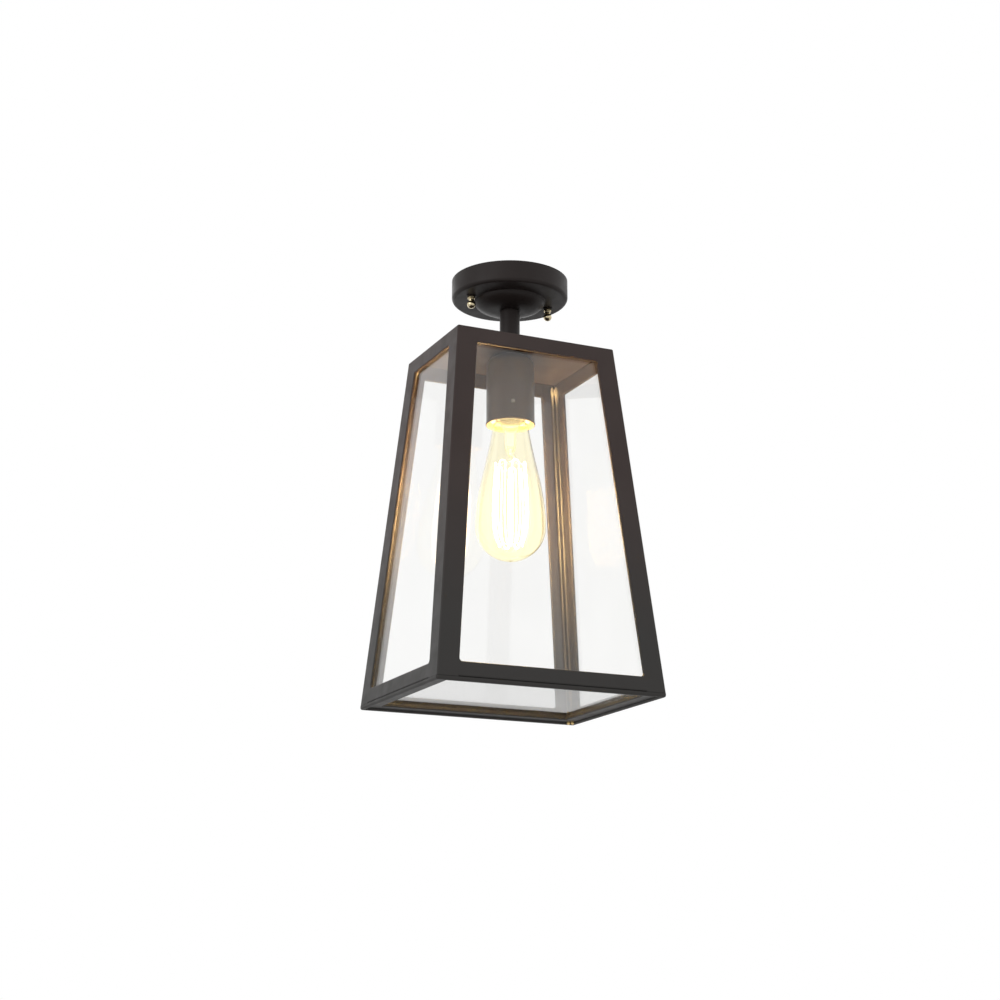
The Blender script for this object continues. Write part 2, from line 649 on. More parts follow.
def rail_foot(side):
    """A base rail's lower fold: down the face, round under it, and in as the foot that the glass stands
    on. It narrows through the bend like a mitre."""
    lean = TAPER / BODY_H * (FOOT_SEAM - Z_RAILS)
    moved_in = TAPER * (Z_RAILS - Z_FOOT) / BODY_H
    across = FACES[side][1] - moved_in
    half = FACES[side][2] - moved_in - FLANGE
    bend = folded([(lean + slope_wall / 2, FOOT_SEAM), (slope_wall / 2, Z_RAILS + WALL / 2),
                   (RAIL_FOOT, Z_RAILS + WALL / 2)], FOLD_MID, WALL)
    arrays = []
    for section in bend:
        inward, z = section.T
        width = half + np.clip(FOLD_R - inward, 0, FOLD_R) - TAPER / BODY_H * (z - Z_RAILS)
        u = width[:, None] * np.array([-1.0, 1.0])
        arrays.append(facing(side, u, inward[:, None] - across, z[:, None]))
    return sheet(*arrays)


for side in FACES:
    piece("steel_top_rail_" + side, rail(side, V_OPEN_HIGH, FILLET_TOP, -1, Z_CEIL, Z_CEIL),
          BRONZE, ["top_rail_" + side])
    base_rail = rail(side, V_OPEN_LOW, FILLET_LOW, 1, FOOT_SEAM, Z_RAILS + WALL) + rail_foot(side)
    piece("steel_base_rail_" + side, base_rail, BRONZE, ["base_rail_" + side])

# %% [markdown]
# ## Roof plate and glazed base
# Both follow a rectangle with round corners. A profile gives how far each of its points lies inside the
# outline, and at what level; the corner's radius shrinks as the outline moves in. The base is a frame
# of its own: its flange and its glass are set up behind a rolled rim. Two screws and four spring tabs
# hold it, and once the screws are out it comes straight down, so that the bulb can be changed.

# %% Shapes that follow the lantern's plan
ROUND_STEPS = 6


def plan_ring(half_x, half_y, corner_r, z, least_r=0.5):
    """A rectangle with round corners for each row: arcs of radius r about the points (half - r)."""
    half_x, half_y, corner_r, z = np.broadcast_arrays(half_x, half_y, np.maximum(corner_r, least_r), z)
    a = np.radians(np.linspace(0, 90, ROUND_STEPS + 1)[None] + np.array([[0], [90], [180], [270]])).ravel()
    sx = np.repeat([1, -1, -1, 1], ROUND_STEPS + 1)
    sy = np.repeat([1, 1, -1, -1], ROUND_STEPS + 1)
    x = sx * (half_x - corner_r)[:, None] + corner_r[:, None] * np.cos(a)
    y = sy * (half_y - corner_r)[:, None] + corner_r[:, None] * np.sin(a)
    return np.stack([x, y, np.broadcast_to(z[:, None], x.shape)], axis=-1)


# %% The roof plate
ROOF_EDGE_R = 0.9
NIPPLE_HOLE_R = 5.3
rounding = arc((0, 0), ROOF_EDGE_R, 90, 0, 5)
rim_in = np.concatenate([ROOF_EDGE_R - rounding[:, 0], [0.0]])
rim_z = np.concatenate([Z_ROOF - ROOF_EDGE_R + rounding[:, 1], [Z_CEIL]])
plate = plan_ring(half_w(rim_z) - rim_in, half_d(rim_z) - rim_in, FOLD_R - rim_in, rim_z, 0.7)
bearing = np.arctan2(plate[0, :, 1], plate[0, :, 0])
hole = [np.stack([NIPPLE_HOLE_R * np.cos(bearing), NIPPLE_HOLE_R * np.sin(bearing), np.full_like(bearing, z)],
                 axis=-1) for z in (Z_ROOF, Z_CEIL)]
piece("roof_sheet", [grid(np.concatenate([[hole[0]], plate, [hole[1]]]), True, True)],
      BRONZE, ["roof_plate"])

# %% The base frame with its four spring tabs
RIM_H = 3.5
RIM_W = 4.0
BASE_FLANGE = 16.0        # from the outline to the base window's edge
BASE_LIP = 3.5            # how far the flange turns up at that edge
BASE_CORNER_R = 2.4
RIM_BEND = (RIM_W - WALL) / 2 - 0.01
LIP_BEND = 0.7
BASE_BENDS = [RIM_BEND, RIM_BEND, LIP_BEND, LIP_BEND]
rim_mid, flange_mid, lip_mid = RIM_W - WALL / 2, RIM_H - WALL / 2, BASE_FLANGE - WALL / 2
base_sides = folded([(WALL / 2, RIM_H), (WALL / 2, WALL / 2), (rim_mid, WALL / 2), (rim_mid, flange_mid),
                     (lip_mid, flange_mid), (lip_mid, RIM_H - WALL + BASE_LIP)], BASE_BENDS, WALL)
base_parts = sheet(*[plan_ring(HALF_W - s[:, 0], HALF_D - s[:, 0], BASE_CORNER_R - s[:, 0], Z_FOOT + s[:, 1])
                     for s in base_sides], wrap_cols=True)
TAB_L = 16.0
TAB_T = 1.0
TAB_IN = RAIL_FOOT + REST_GAP
TAB_TOP = FOOT_HIGH[2]
TAB_BOW = 0.25
BOW_FROM = 0.55           # of the tab's height
SHOULDER = 2.5
SHOULDER_FROM = 0.75


def spring_tab(side):
    """A leaf of spring steel that slides beside a rail's foot and bows outwards at its end to grip it,
    by b sin(pi s) with s over its upper part. Its shoulders fall away with the square of the height."""
    t = np.linspace(0, 1, 13)
    z = Z_FOOT + flange_mid + t * (TAB_TOP - Z_FOOT - flange_mid)
    bow = -TAB_BOW * np.clip(np.sin(np.pi * (t - BOW_FROM) / (1 - BOW_FROM)), 0, None)
    half = TAB_L / 2 - SHOULDER * np.clip((t - SHOULDER_FROM) / (1 - SHOULDER_FROM), 0, 1) ** 2
    u = half[:, None] * np.linspace(-1, 1, 5)
    return sheet(*[facing(side, u, -FACES[side][1] + TAB_IN + (bow + offset)[:, None], z[:, None])
                   for offset in (0.0, TAB_T)])


for side in FACES:
    base_parts += spring_tab(side)
piece("base_frame_steel", base_parts, BRONZE, ["base_frame"], body="base", bevel=0.15)

# %% [markdown]
# ## Glass and sealant
# The panes are 3 mm float glass with ground edges. They are bonded behind the seats, and a bead of
# silicone runs up each edge inside. A hand-laid bead is never even: its width is a base value times one
# plus a few slow sines, and it swells into a blob where the gun stopped under the roof.

# %% The panes
V_PANE_LOW = level_v(Z_RAILS + WALL + REST_GAP, LIP + GLASS)
V_PANE_HIGH = level_v(Z_CEIL - REST_GAP, LIP)


def pane(side):
    """A flat trapezium of glass between two depths behind its face."""
    v = np.array([V_PANE_LOW, V_PANE_HIGH])[:, None]
    u = (half_at(side, v) - PANE_EDGE) * np.array([-1.0, 1.0])
    return sheet(on_face(side, u, v, LIP), on_face(side, u, v, LIP + GLASS))


for side in FACES:
    piece("glass_" + side, pane(side), PANE_GLASS, ["pane_" + side], bevel=0.35)
BASE_GLASS = box_of("pane_base")
piece("glass_base", block(*BASE_GLASS), PANE_GLASS, ["pane_base"], body="base", bevel=0.35)

# %% The beads of silicone
SWELLS = np.array([(0.10, 9.0), (0.07, 4.1), (0.05, 1.9)])     # each sine's amount and length in mm
BEAD_ROWS = 150
END_POWER = 60            # a higher power closes the bead's ends more abruptly
BLOB_DOWN, BLOB_LENGTH = 5.0, 4.0
BEAD_WANDER = 0.3         # mm from side to side


def uneven_along(s, seed):
    """A slow, irregular swell along a length s in millimetres: three sines whose phases follow a seed."""
    phase = np.random.default_rng(seed).uniform(0, 2 * np.pi, 3)
    return (SWELLS[:, 0] * np.sin(s[:, None] / SWELLS[:, 1] + phase)).sum(axis=1)


def bead(side, hand, seed):
    """Half an ellipse carried up the pane's edge. Its size closes to nothing at both ends as a circle
    does, and a bell curve adds the blob near the top, larger on every third bead."""
    low, high = V_PANE_LOW + BEAD_W, V_PANE_HIGH - BEAD_W
    v = low + (high - low) * (1 - np.cos(np.linspace(0, np.pi, BEAD_ROWS))) / 2
    closing = np.sqrt(np.clip(1 - (np.abs(v - (low + high) / 2) / ((high - low) / 2)) ** END_POWER, 0, 1))
    blob = np.exp(-((v - high + BLOB_DOWN) / BLOB_LENGTH) ** 2) * (0.9 if seed % 3 else 1.5)
    size = closing * (1 + uneven_along(v, seed) + blob)
    phi = np.linspace(0, np.pi, 13)
    middle = half_at(side, v) - BEAD_EDGE - BEAD_W / 2 + BEAD_WANDER * uneven_along(v, seed + 50)
    across = middle[:, None] + size[:, None] * BEAD_W / 2 * np.cos(phi)
    lift = size[:, None] * BEAD_T * np.sin(phi)
    return [grid(on_face(side, hand * across, v[:, None], LIP + GLASS + lift), wrap_cols=True)]


beads = []
for k, side in enumerate(FACES):
    beads += bead(side, -1, 2 * k) + bead(side, 1, 2 * k + 1)
piece("silicone_beads", beads, SILICONE, ["pane_sealant"])

# %% The bead under the base glass, along its outer edge
BEAD_IN = HALF_W - BASE_GLASS[1][0]
BEAD_BACK = BASE_FLANGE - WALL
BEAD_HOLLOW = 0.6         # how far the bead's outer side rounds off at its edges
bead_low, bead_high = Z_FOOT + RIM_H, BASE_GLASS[0][2]
phi = np.radians(np.linspace(-90, 90, 9))
bead_inset = np.concatenate([[BEAD_BACK], BEAD_IN + BEAD_HOLLOW * (1 - np.cos(phi)), [BEAD_BACK]])
bead_middle, bead_half = (bead_low + bead_high) / 2, (bead_high - bead_low) / 2
bead_z = np.concatenate([[bead_low], bead_middle + bead_half * np.sin(phi), [bead_high]])
ring = plan_ring(HALF_W - bead_inset, HALF_D - bead_inset, 0.5, bead_z)
piece("silicone_base_bead", [grid(ring, True, True)], SILICONE, ["base_sealant"], body="base")

# %% [markdown]
# ## Canopy, stem and cap nuts
# These are turned shapes. The canopy is one pressed dish: a straight side, a rolled edge, a flat face
# and a low boss. A profile function with an inset gives both sides of the sheet.

# %% The canopy
CANOPY_LOW, CANOPY_HIGH = box_of("canopy_dish")
CANOPY_R = CANOPY_HIGH[0]
Z_BOSS = CANOPY_LOW[2]
BOSS_R = 33.5
BOSS_DROP = 10.0
BOSS_FLAT_R = 11.0
Z_FACE = Z_BOSS + BOSS_DROP
EDGE_R = 3.5
CANOPY_WALL = 1.0
PRESS_R = 1.0             # the fillet that pressing leaves at the boss's foot


def canopy_side(inset):
    """Down the side, round the rolled edge, across the face, round a fillet and down the boss, which
    falls as a quarter ellipse: r = flat + (boss - flat) cos a, z = face - drop sin a."""
    r, e, b, z = CANOPY_R - inset, EDGE_R - inset, BOSS_R - inset, Z_FACE + inset
    fillet = PRESS_R + inset
    a0 = np.degrees(np.arcsin(fillet / BOSS_DROP))
    foot_r = BOSS_FLAT_R + (b - BOSS_FLAT_R) * np.cos(np.radians(a0))
    a = np.radians(np.linspace(a0, 90, 20))
    boss = np.stack([BOSS_FLAT_R + (b - BOSS_FLAT_R) * np.cos(a), z - BOSS_DROP * np.sin(a)], axis=-1)
    return np.vstack([[(r, 0.0)], [(r, (z + e) / 2)], arc((r - e, z + e), e, 0, -90, 9),
                      arc((foot_r + fillet, z - fillet), fillet, 90, 180, 5), boss[1:],
                      [(NIPPLE_HOLE_R, Z_BOSS + inset)]])


canopy = piece("canopy_pressing", turned_sheet(canopy_side(0), canopy_side(CANOPY_WALL), 160),
               CANOPY_BRONZE, ["canopy_dish"], bevel=0.15)
STUDS = box_of("bar_studs")
STUD_R = 2.0
STUD_X = STUDS[1][0] - STUD_R


def cut(obj, parts):
    """Takes a closed shape out of a piece before its edges are rounded."""
    cutter = new_object("cutter", joined_mesh("cutter", parts))
    bare = new_object("bare", obj.data)
    hole = bare.modifiers.new("cut", "BOOLEAN")
    hole.solver = "EXACT"
    hole.object = cutter
    bpy.context.view_layer.update()
    obj.data = bpy.data.meshes.new_from_object(bare.evaluated_get(bpy.context.evaluated_depsgraph_get()))
    finish_mesh(obj.data)
    for used in (bare, cutter):
        bpy.data.objects.remove(used)


def peg(x, y, radius, low, high):
    """A plain cylinder to cut a hole with."""
    return moved(turned([(0, low), (radius, low), (radius, high), (0, high)], 40), (x, y, 0))


for s in (-1, 1):
    cut(canopy, peg(s * STUD_X, 0, STUD_R + 0.3, Z_FACE - 1, Z_FACE + 3))

# %% The stem
STEM_R = box_of("stem_tube")[1][0]
STEM_WALL = 1.2
tube_line = [(STEM_R, Z_ROOF), (STEM_R, Z_BOSS), (STEM_R - STEM_WALL, Z_BOSS), (STEM_R - STEM_WALL, Z_ROOF)]
piece("stem_pipe", turned(tube_line, 72, True), CANOPY_BRONZE, ["stem_tube"], bevel=0.25)

# %% [markdown]
# The canopy hangs on two threaded studs, and under each a washer and a brass cap nut are screwed up.
# Each thread is a round whose centre goes once about the axis in every pitch p, and the bulb's cap has
# the same rounded thread: r = mean + depth / 2 cos(a - 2 pi z / p).

# %% Studs, washers and cap nuts


def screw_grid(mean_r, depth, pitch, z, sides, fade=1.0):
    """Rows of a screw thread at the levels z. `fade` thins it out towards its ends."""
    a = np.linspace(0, 2 * np.pi, sides, endpoint=False)
    reach = depth / 2 * np.broadcast_to(fade, len(z))[:, None]
    r = mean_r + reach * np.cos(a - 2 * np.pi * z[:, None] / pitch)
    return np.stack([r * np.cos(a), r * np.sin(a), np.broadcast_to(z[:, None], r.shape)], axis=-1)


def closed(rows, low_z, high_z):
    """Closes a grid of rings with a point on the axis at each end."""
    ends = [np.broadcast_to([0.0, 0.0, z], rows.shape[1:]) for z in (low_z, high_z)]
    return [grid(np.concatenate([[ends[0]], rows, [ends[1]]]), wrap_cols=True)]


STUD_PITCH = 0.7
STUD_THREAD = 0.3         # crest to root
stud_z = np.arange(STUDS[0][2], STUDS[1][2] + 0.01, STUD_PITCH / 8)
stud = closed(screw_grid(STUD_R - STUD_THREAD / 2, STUD_THREAD, STUD_PITCH, stud_z, 20), stud_z[0], stud_z[-1])
studs = moved(stud, (-STUD_X, 0, 0)) + moved(stud, (STUD_X, 0, 0))
piece("threaded_studs", studs, ZINC, ["bar_studs"])

WASHER_R = 4.5
WASHER_T = 0.8
WASHER_EASE = 0.25
NUT_R = 3.6
NUT_H = 12.0
NUT_BALL_R = 4.0
NUT_EASE = 0.35
COLLAR_LOW = -1.6         # this and the next three are levels under the nut's top
GROOVE_Z = -2.1
RING_Z = -2.45
NUT_NECK_Z = -3.35
RING_R = 0.3
NUT_NECK_R = 0.72 * NUT_R
NUT_FILLET = 0.7
BORE_R = 2.05
BORE_DEPTH = 9.2
DRILL_TIP = 0.6
CHAMFER = 0.3
nut_line = np.vstack([
    [(0, -BORE_DEPTH - DRILL_TIP), (BORE_R, -BORE_DEPTH), (BORE_R, -CHAMFER), (BORE_R + CHAMFER, 0)],
    [(NUT_R - NUT_EASE, 0)], arc((NUT_R - NUT_EASE, -NUT_EASE), NUT_EASE, 90, 0, 4),
    arc((NUT_R - NUT_EASE, COLLAR_LOW), NUT_EASE, 0, -60, 3), [(NUT_R - 0.55, GROOVE_Z)],
    arc((NUT_R - 1.5 * RING_R, RING_Z), RING_R, 60, -60, 4),
    arc((NUT_NECK_R + NUT_FILLET, NUT_NECK_Z), NUT_FILLET, 120, 190, 5),
    arc((0, NUT_BALL_R - NUT_H), NUT_BALL_R, 50, -90, 22)])
washer_line = np.vstack([
    [(BORE_R + 0.1, -WASHER_T), (BORE_R + 0.1, 0)],
    arc((WASHER_R - WASHER_EASE, -WASHER_EASE), WASHER_EASE, 90, 0, 4),
    arc((WASHER_R - WASHER_EASE, WASHER_EASE - WASHER_T), WASHER_EASE, 0, -90, 4)])
for s, hand in ((-1, "left"), (1, "right")):
    piece("cap_nut_brass_" + hand, moved(turned(nut_line, 56), (s * STUD_X, 0, Z_FACE - WASHER_T)),
          POLISHED_BRASS, ["cap_nut_" + hand], body="cap_nut_" + hand)
    piece("washer_" + hand, moved(turned(washer_line, 48, True), (s * STUD_X, 0, Z_FACE)),
          CANOPY_BRONZE, ["nut_washer_" + hand], body="nut_washer_" + hand)

# %% [markdown]
# ## Lampholder
# The cup is a drawn steel thimble with a rounded shoulder and a rolled rim. The ceramic body, the
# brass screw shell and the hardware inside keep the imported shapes, with whole flats and eased edges.

# %% The cup
CUP_WALL = 1.0
CUP_MID_R = CUP_R - CUP_WALL / 2
Z_MOUTH = box_of("holder_cup")[0][2]
cup_sides = folded([(NIPPLE_HOLE_R, Z_CEIL - CUP_WALL / 2), (CUP_MID_R, Z_CEIL - CUP_WALL / 2),
                    (CUP_MID_R, Z_MOUTH + 0.9)], CUP_SHOULDER_R - CUP_WALL / 2, CUP_WALL, 14)
ROLL_R, ROLL_UP = 0.8, 1.2        # the rolled rim is an ellipse in section
roll = np.array([CUP_R - 0.2, Z_MOUTH + ROLL_UP]) + arc((0, 0), 1.0, 0, 360, 20)[:-1] * [ROLL_R, ROLL_UP]
piece("holder_cup_steel", turned_sheet(*cup_sides, 112) + turned(roll, 112, True),
      CUP_BRONZE, ["holder_cup"], bevel=0.12)

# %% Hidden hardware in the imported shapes
HARDWARE = {
    "ceiling_bar": (ZINC, "zinc", 0.25), "stud_lock_nuts": (ZINC, "zinc", 0.2),
    "ground_screw": (BRASS, "brass", 0.15), "canopy_washer": (ZINC, "zinc", 0.15),
    "canopy_lock_nut": (BRASS, "brass", 0.25), "nipple": (ZINC, "zinc", 0.2),
    "cup_lock_nut": (BRASS, "brass", 0.25), "holder_bracket": (ZINC, "zinc", 0.2),
    "bracket_screws": (ZINC, "zinc", 0.12), "holder_body": (CERAMIC, "ceramic", 0.5),
    "socket_shell": (BRASS, "brass", 0.0), "centre_contact": (BRASS, "brass", 0.1),
    "terminal_screws": (BRASS, "brass", 0.12), "cup_screw": (DULL_ZINC, "zinc", 0.1)}
for node, (finish, slot, ease) in HARDWARE.items():
    dressed(node, finish, bevel=ease)
print(len(HARDWARE), "pieces of hardware in the packed shapes")

# %% Slotted screws under the base
screws = dressed("base_screws", BRASS, body="base", bevel=0.08)
SCREWS_LOW, SCREWS_HIGH = box_of("base_screws")
HEAD_R = 1.7
SLOT_REACH = HEAD_R + 0.5
SLOT_W = 0.45
SLOT_DEPTH = 0.5
for x, y in ((SCREWS_LOW[0] + HEAD_R, SCREWS_HIGH[1] - HEAD_R),
             (SCREWS_HIGH[0] - HEAD_R, SCREWS_LOW[1] + HEAD_R)):
    cut(screws, block((x - SLOT_REACH, y - SLOT_W / 2, Z_FOOT - 2),
                      (x + SLOT_REACH, y + SLOT_W / 2, SCREWS_LOW[2] + SLOT_DEPTH)))

# %% [markdown]
# The leads are PVC-covered wires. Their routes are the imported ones: a few points chosen by hand, with a
# smooth curve through them, p = (2b + (c - a) t + (2a - 5b + 4c - d) t^2 + (3b - a - 3c + d) t^3) / 2.

# %% The three leads
LEAD_R = 0.9


def smooth_run(points, steps=8):
    """The curve through a list of points, worked out for all spans at once."""
    p = np.asarray(points, float)
    a, b, c, d = np.vstack([p[:1], p[:-2]]), p[:-1], p[1:], np.vstack([p[2:], p[-1:]])
    t = (np.arange(steps) / steps)[None, :, None]
    a, b, c, d = (q[:, None] for q in (a, b, c, d))
    run = 0.5 * (2 * b + (c - a) * t + (2 * a - 5 * b + 4 * c - d) * t ** 2 + (3 * b - a - 3 * c + d) * t ** 3)
    return np.vstack([run.reshape(-1, p.shape[1]), p[-1:]])


def lead(node, material, route):
    """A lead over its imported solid."""
    piece(node + "_sleeve", tube(smooth_run(route), LEAD_R, 12), material, [node])


Z_TERMINAL = box_of("terminal_screws")[1][2] + LEAD_R + 0.1
NIPPLE_END, NIPPLE_TOP = box_of("nipple")[0][2], box_of("nipple")[1][2]
LEAD_X = 1.5
Z_HIGH = NIPPLE_TOP + 9.0
for s, from_x, node, material, slot in ((-1, 6.0, "lead_live", LEAD_RED, "lead_red"),
                                        (1, 10.0, "lead_neutral", LEAD_WHITE, "lead_white")):
    lead(node, material, [
        (s * from_x, 0, Z_TERMINAL), (s * (from_x - 0.6), 0, Z_TERMINAL + 4), (s * LEAD_X, 0, NIPPLE_END - 3),
        (s * LEAD_X, 0, NIPPLE_END + 2), (s * LEAD_X, 0, NIPPLE_TOP - 1),
        (s * (LEAD_X + 0.4), 0, NIPPLE_TOP + 2), (s * 5, -s * 4, Z_HIGH - 2), (s * 13, -s * 11, Z_HIGH),
        (s * 22, -s * 14, Z_HIGH), (s * 30, -s * 12, Z_HIGH)])
Z_TAG = box_of("canopy_washer")[1][2] + LEAD_R + 0.1
lead("lead_earth", LEAD_GREEN, [
    (-8.9, 1, Z_TAG), (-12, 1.5, Z_TAG + 1.5), (-15, 2.5, Z_TAG + 6), (-15.5, 4, Z_TAG + 12),
    (-14, 5.4, -4.8), (-12, 5.2, -3.0)])

# %% [markdown]
# ## The bulb
# A blown pear of thin amber-tinted glass. Its side opens from the neck with a cosine, swells with a mix
# of a sine and a cosine, and ends in half a ball. Two insets of one profile make a real wall, so light
# bends at both of its faces.

# %% The glass envelope
BULB_R = 32.5
BULB_L = 135.0
NECK_R = 16.5
JOINT_R = 13.4
BULB_WALL = 0.8
Z_SKIRT = Z_MOUTH + 4.3
Z_JOINT = Z_SKIRT + 2.5
Z_TIP = Z_SKIRT - BULB_L
Z_WIDE = Z_TIP + BULB_R + 0.5
PIP = np.array([(1.5, 0.42), (0.9, 0.0), (0.0, -0.25)])     # where the glass was drawn off, from the tip up
PIP_INSIDE = np.array([(1.5, 0.52), (0.9, 0.48), (0.0, 0.46)])


def bulb_side(inset):
    """Radii, with t running from 0 to 1 down each stretch: j + (n - j)(1 - cos 90t) at the neck,
    n + (r - n)(sin 90t / 2 + (1 - cos 180t) / 4) down the side, and a quarter circle at the end."""
    r, n, j = BULB_R - inset, NECK_R - inset, JOINT_R - inset
    quarter = np.linspace(0, np.pi / 2, 13)
    neck_z = Z_SKIRT + (Z_MOUTH - Z_SKIRT) * np.sin(quarter)
    neck = np.stack([j + (n - j) * (1 - np.cos(quarter)), neck_z], axis=-1)
    t = np.linspace(0, 1, 60)
    swell = np.sin(np.pi / 2 * t) / 2 + (1 - np.cos(np.pi * t)) / 4
    side = np.stack([n + (r - n) * swell, Z_MOUTH + (Z_WIDE - Z_MOUTH) * t], axis=-1)
    return np.vstack([[(j, Z_JOINT)], neck[:-1], side[:-1], arc((0, Z_WIDE), r, 0, -86, 30)])


outside = np.vstack([bulb_side(0.0), PIP + [0, Z_TIP]])
inside = np.vstack([bulb_side(BULB_WALL), PIP_INSIDE + [0, Z_TIP + BULB_WALL]])
piece("bulb_envelope", turned_sheet(outside, inside, 128), BULB_GLASS, ["bulb_glass"],
      body="bulb")

# %% The inner glasswork: a flared stem, pinched into a rod with two buttons
Z_PINCH = Z_MOUTH - 29
Z_BUTTON = Z_MOUTH - 36
Z_LOW_BUTTON = Z_TIP + 16
STEM_TUBE_R = 5.2
ROD_R = 1.1
BUTTON_R = 2.6
BUTTON_UP = 1.7
BUTTON_END = 2.0          # from a button's middle to where its rod goes on
stem_top = Z_SKIRT + 1
flare_r = JOINT_R - BULB_WALL
button = arc((0, 0), 1.0, 60, -60, 8) * [BUTTON_R, BUTTON_UP]
flare = smooth_run([
    (flare_r - 0.6, stem_top - 1.2), (STEM_TUBE_R + 3, Z_MOUTH - 1), (STEM_TUBE_R + 0.4, Z_MOUTH - 7),
    (STEM_TUBE_R, Z_MOUTH - 12), (STEM_TUBE_R, Z_PINCH + 7), (2.4, Z_PINCH + 0.5), (ROD_R, Z_PINCH - 2)], 6)
stem_line = np.vstack([
    [(flare_r - 0.1, stem_top)], flare, [(ROD_R, Z_BUTTON + BUTTON_END)], button + [0, Z_BUTTON],
    [(ROD_R, Z_BUTTON - BUTTON_END), (ROD_R, Z_LOW_BUTTON + BUTTON_END)], button + [0, Z_LOW_BUTTON],
    [(0, Z_LOW_BUTTON - 1.6)],
    [(0, Z_PINCH + 1), (0.9, Z_PINCH + 3), (STEM_TUBE_R - 1, Z_PINCH + 8), (STEM_TUBE_R - 1, Z_MOUTH - 8)],
    [(STEM_TUBE_R + 2, Z_MOUTH - 1.6), (flare_r - 1.1, stem_top)]])
piece("bulb_stem_glasswork", turned(stem_line, 40, True), STEM_GLASS, ["bulb_stem"], body="bulb")

# %% [markdown]
# ## The caged filament
# One wire runs up and down fourteen times round a cage and turns in a loop at each end. With t from the
# top of the cage to its foot, the cage's radius first swells with a sine and then closes like an
# ellipse. The whole path is one array: strands and half-circle bends, all from the same formula.

# %% The filament's wire
STRANDS = 14
FILAMENT_R = 0.45
CAGE_TOP_R, CAGE_MID_R, CAGE_LOW_R = 14.2, 16.4, 8.6
CLOSE_FROM, CLOSE_SPAN = 0.6, 0.42      # parts of the cage's height
Z_CAGE_TOP, Z_CAGE_LOW = Z_BUTTON - 4, Z_LOW_BUTTON + 1
STEP_TURN = 2 * np.pi / STRANDS
TURN_0 = np.radians(20)
STRAND_STEPS = 36
BEND_STEPS = 10


def cage_r(t):
    """The cage's radius: top + (mid - top) sin 150t, and then an ellipse that closes towards its foot."""
    swell = CAGE_TOP_R + (CAGE_MID_R - CAGE_TOP_R) * np.sin(np.radians(150 * t))
    close = CAGE_LOW_R + (CAGE_MID_R - CAGE_LOW_R) * np.sqrt(
        np.clip(1 - ((t - CLOSE_FROM) / CLOSE_SPAN) ** 2, 0, None))
    return np.where(t < CLOSE_FROM, swell, close)


def cage_path():
    """Strands and bends in order, as whole arrays: even strands go down and odd ones up."""
    i = np.arange(STRANDS)[:, None]
    down = (i % 2 == 0)
    t = np.linspace(0, 1, STRAND_STEPS + 1)[None]
    strand_t = np.where(down, t, 1 - t)
    strand_turn = np.broadcast_to(TURN_0 + i * STEP_TURN, strand_t.shape)
    a = np.linspace(0, np.pi, BEND_STEPS + 2)[None, 1:-1]
    bend_t = np.where(down, 1.0, 0.0) * np.ones_like(a)
    bend_turn = TURN_0 + (i + 0.5 - np.cos(a) / 2) * STEP_TURN
    bend_lift = np.where(down, -1.0, 1.0) * cage_r(bend_t) * np.sin(STEP_TURN / 2) * np.sin(a)
    t, turn = np.hstack([strand_t, bend_t]), np.hstack([strand_turn, bend_turn])
    lift = np.hstack([np.zeros_like(strand_t), bend_lift])
    r = cage_r(t)
    z = Z_CAGE_TOP + (Z_CAGE_LOW - Z_CAGE_TOP) * t + lift
    points = np.stack([r * np.cos(turn), r * np.sin(turn), z], axis=-1)
    return points.reshape(-1, 3)[:-BEND_STEPS]


wire_path = cage_path()
piece("filament_wire", tube(wire_path, FILAMENT_R, 8), FILAMENT, ["bulb_filament"], body="bulb")
print("filament:", round(np.linalg.norm(np.diff(wire_path, axis=0), axis=1).sum()), "mm of wire")

# %% Hooks that hold the loops, and the two lead-in wires
HOOK_R = 0.3
HOOK_GAP = 0.25           # between a hook and the loop it holds
HOOK_SAG = 0.8
HOOK_OUT, HOOK_TURN = 0.9, 0.7
hooks = []
for i in range(STRANDS - 1):
    t, up, z_from = (1.0, -1.0, Z_LOW_BUTTON) if i % 2 == 0 else (0.0, 1.0, Z_BUTTON)
    turn = TURN_0 + (i + 0.5) * STEP_TURN
    radial = np.array([np.cos(turn), np.sin(turn), 0.0])
    r = float(cage_r(np.array(t)))
    bend = r * np.sin(STEP_TURN / 2) - FILAMENT_R - HOOK_R - HOOK_GAP
    start = radial * (BUTTON_R - 0.4) + [0, 0, z_from]
    end = radial * r + [0, 0, Z_CAGE_TOP + (Z_CAGE_LOW - Z_CAGE_TOP) * t + up * bend]
    route = [start, (start + end) / 2 - [0, 0, up * HOOK_SAG], end,
             end + radial * HOOK_OUT + [0, 0, up * HOOK_TURN]]
    hooks += tube(smooth_run(route, 6), HOOK_R, 8)
piece("filament_hooks", hooks, ZINC, ["bulb_supports"], body="bulb")
lead_ins = []
for end in (wire_path[0], wire_path[-1]):
    outward = np.array([end[0], end[1], 0.0]) / np.hypot(end[0], end[1])
    route = [outward * 1.6 + [0, 0, Z_PINCH + 1], outward * 5.0 + [0, 0, Z_PINCH - 2],
             end - 0.5 * outward + [0, 0, 0.6]]
    lead_ins += tube(smooth_run(route, 8), HOOK_R, 8)
piece("lead_in_wires", lead_ins, ZINC, ["bulb_lead_wires"], body="bulb")

# %% [markdown]
# The cap is thin aluminium rolled into a thread, closed by a button of black glass with the contact in
# its middle. A bevel can't make a thread, so its rows come from the stud's formula, with plain rings
# before and after them and a lining inside.

